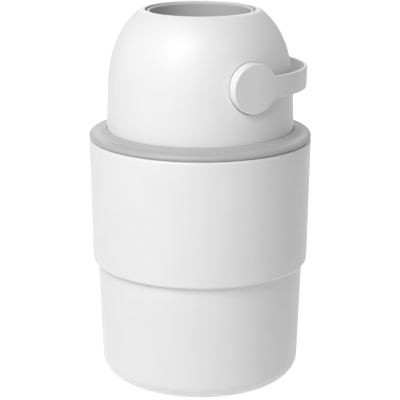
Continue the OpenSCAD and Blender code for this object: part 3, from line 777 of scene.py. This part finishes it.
@dataclass
class Plunger:
    """The free plunger: two ribbed cups that meet at its middle, and the wiper ring between them.

    It is 1.3 mm smaller in radius than the solid plunger, so that it goes through the rims' skirts.
    """

    radius: float = 53.4
    half_height: float = 10
    edge: float = 3
    wall: float = 2.2
    groove_depth: float = 1.6
    groove_half: float = 1.5
    wiper_r: float = 53.7
    post_r: float = 6
    rib_half: float = 0.8
    rib_count: int = 6
    sectors: int = 192

    def cup(self) -> Surface:
        """The lower cup, open upwards, with its base at height 0."""
        bed, cup_r = self.wall, self.radius - self.groove_depth - self.wall
        neck, step = self.radius - self.groove_depth, self.half_height - self.groove_half
        corners = [
            (0, 0, 0),
            (self.radius, 0, self.edge),
            (self.radius, step, 0.3),
            (neck, step, 0),
            (neck, self.half_height, 0),
            (cup_r, self.half_height, 0),
            (cup_r, bed, 2),
            (0, bed, 0),
        ]
        shell = revolved(held(rounded(corners, closed=False), closed=False), self.sectors, closed=False)
        t, reach = self.rib_half, cup_r + 0.5
        bar = np.array([[self.post_r - 1, -t], [reach, -t], [reach, t], [self.post_r - 1, t]])
        rib = prism(bar, bed - 0.5, self.half_height - 0.1)
        post = prism(arc((0, 0), self.post_r, 0, 352.5, 47), bed - 0.5, self.half_height - 0.1)
        turns = np.arange(self.rib_count) * 2 * np.pi / self.rib_count
        return shell.joined(post, *[rib.moved(turn_z(a)) for a in turns])

    def wiper(self) -> Surface:
        """The wiper ring in the groove, with a soft edge."""
        neck, half = self.radius - self.groove_depth, self.groove_half
        corners = [
            (neck, -half, 0),
            (self.radius, -half, 0.4),
            (self.wiper_r, 0, 0.8),
            (self.radius, half, 0.4),
            (neck, half, 0),
        ]
        return revolved(rounded(corners), self.sectors)

    def build(self, wardrobe: Wardrobe) -> None:
        """Make the three pieces at the plunger's place on the lower rim."""
        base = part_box("plunger_lower_half")[0][2] / MM
        cup = self.cup()
        over = cup.moved(np.diag([1, 1, -1]), flip=True)
        for name, shape, height, finish, node in (
            ("lower_cup", cup, 0, Finish.WHITE, "plunger_lower_half"),
            ("upper_cup", over, 2 * self.half_height, Finish.WHITE, "plunger_upper_half"),
            ("wiper_ring", self.wiper(), self.half_height, Finish.RUBBER, "plunger_seal"),
        ):
            piece = mesh_object(name, shape.shifted(z=base + height))
            wardrobe.dress(piece, finish)
            place(piece, "plunger", node)


def turn_z(angle: float) -> np.ndarray:
    """Matrix of a turn about Z by an angle in radians."""
    c, s = math.cos(angle), math.sin(angle)
    return np.array([[c, -s, 0], [s, c, 0], [0, 0, 1]])


# ---------------------------------------------------------------- studio and camera


@dataclass
class Studio:
    """Pale floor, soft lamps and white surroundings."""

    floor_size: float = 9
    floor_colour: float = 0.94
    floor_bounce: float = 0.055
    floor_glow: float = 0.72
    air: float = 0.22

    def lamp(self, name: str, azimuth: float, height: float, away: float, size: Pair, power: float) -> None:
        """Hang a soft rectangular lamp that faces the middle of the bin.

        Args:
            name: the lamp's name.
            azimuth: its bearing in degrees, 0 in front of the bin and positive to the right.
            height: its angle above level in degrees.
            away: its distance in metres.
            size: its width and height in metres.
            power: its power in watts.
        """
        data = bpy.data.lights.new(name, "AREA")
        data.shape, data.size, data.size_y, data.energy = "RECTANGLE", *size, power
        lamp = bpy.data.objects.new(name, data)
        a, e = math.radians(azimuth), math.radians(height)
        middle = 0.22
        lamp.location = (
            away * math.sin(a) * math.cos(e),
            -away * math.cos(a) * math.cos(e),
            middle + away * math.sin(e),
        )
        lamp.rotation_euler = Euler((math.pi / 2 - e, 0, a))
        bpy.context.scene.collection.objects.link(lamp)

    def shown_white(self, kit: NodeKit) -> Socket:
        """1 for rays from the camera and for what metal and glass show, else 0."""
        path = kit.add("ShaderNodeLightPath")
        total = path.outputs["Is Camera Ray"]
        for name in ("Is Glossy Ray", "Is Transmission Ray"):
            both = {0: total, 1: path.outputs[name]}
            node = kit.add("ShaderNodeMath", both, operation="ADD", use_clamp=True)
            total = node.outputs[0]
        return total

    def build_floor(self) -> None:
        """Lay the pale floor, which keeps the bin's shadow."""
        half = self.floor_size / 2 / MM
        flat = Surface(
            np.array([[-half, -half, 0], [half, -half, 0], [half, half, 0], [-half, half, 0]], float),
            np.array([[0, 1, 2, 3]]),
        )
        floor = mesh_object("studio_floor", flat)
        kit = NodeKit.for_material("pale studio floor")
        tint = kit.noise(3, 2)
        pale = (self.floor_colour,) * 3
        colour = kit.mixed(kit.span(tint, 0, 1), pale, shaded(pale, 0.995))
        matt = kit.add("ShaderNodeBsdfDiffuse", {"Color": colour})
        shares = {0: self.shown_white(kit), 1: self.floor_glow, 2: self.floor_bounce}
        glow = kit.add("ShaderNodeMath", shares, operation="MULTIPLY_ADD")
        lit = kit.add("ShaderNodeEmission", {"Color": (1, 1, 1, 1), "Strength": glow.outputs[0]})
        both = kit.add("ShaderNodeAddShader", {0: matt.outputs[0], 1: lit.outputs[0]})
        floor.data.materials.append(kit.finish(both))

    def build_world(self) -> None:
        """Fill the room with even white light, shown as plain white."""
        world = bpy.data.worlds.new("white room")
        bpy.context.scene.world = world
        kit = NodeKit(world)
        seen = self.shown_white(kit)
        level = kit.span(seen, self.air, 1.0, (0, 1))
        back = kit.add("ShaderNodeBackground", {"Color": (1, 1, 1, 1), "Strength": level})
        kit.add("ShaderNodeOutputWorld", {"Surface": back.outputs[0]})

    def build(self) -> None:
        """Build the floor, the lamps and the surroundings."""
        self.build_floor()
        self.build_world()
        self.lamp("key softbox", -64, 44, 2.2, (1.2, 1.3), 36)
        self.lamp("rim strip", 96, 20, 2.4, (0.5, 1.6), 3)
        self.lamp("back fill", 150, 32, 2.4, (1.4, 1.4), 6)


@dataclass
class PhotoCamera:
    """The camera of the photograph, fitted to the outlines of the bin."""

    azimuth: float = -33
    away: float = 1.521
    height: float = 0.6204
    pitch: float = 15.69
    roll: float = 0.12
    lens: float = 129.4
    sensor: float = 36

    def build(self) -> None:
        """Set up the scene's camera."""
        data = bpy.data.cameras.new("photo camera")
        data.lens, data.sensor_width, data.sensor_fit = self.lens, self.sensor, "HORIZONTAL"
        data.clip_end = 50
        camera = bpy.data.objects.new("photo camera", data)
        a = math.radians(self.azimuth)
        camera.location = (self.away * math.sin(a), -self.away * math.cos(a), self.height)
        aim = Euler((math.radians(90 - self.pitch), 0, a)).to_matrix()
        tilt = Euler((0, 0, math.radians(self.roll))).to_matrix()
        camera.rotation_euler = (aim @ tilt).to_euler()
        bpy.context.scene.collection.objects.link(camera)
        bpy.context.scene.camera = camera


# ---------------------------------------------------------------- the whole bin


CARRIED_NODES = {
    "bag_hoop": Finish.GREY,
    "ring_gasket": Finish.RUBBER,
    "dome_shell": Finish.WHITE,
    "upper_chamber": Finish.GREY,
    "lower_chamber": Finish.GREY,
    "base_plate": Finish.GREY,
    "mouth_seal": Finish.RUBBER,
    "outlet_seal": Finish.RUBBER,
    "head_gasket": Finish.RUBBER,
    "head_screws": Finish.STEEL,
    "front_bush": Finish.BUSH,
    "rear_bush": Finish.BUSH,
    "drum_barrel": Finish.DRUM,
    "handle": Finish.WHITE,
    "handle_screws": Finish.STEEL,
}


def main() -> None:
    """Build the bin's pieces, then the studio and the camera."""
    logging.basicConfig(level=logging.INFO, format="%(name)s: %(message)s")
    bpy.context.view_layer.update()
    bpy.context.scene.view_settings.view_transform = "Standard"
    wardrobe = Wardrobe()
    for node, finish in CARRIED_NODES.items():
        wardrobe.dress_node(node, finish)
        LOG.info("%s: carried over in %s", node, finish.slot)
    Tub().build(wardrobe)
    ShoulderRing().build(wardrobe)
    DrumRim().build(wardrobe)
    Plunger().build(wardrobe)
    Studio().build()
    PhotoCamera().build()


if __name__ == "__main__":
    main()
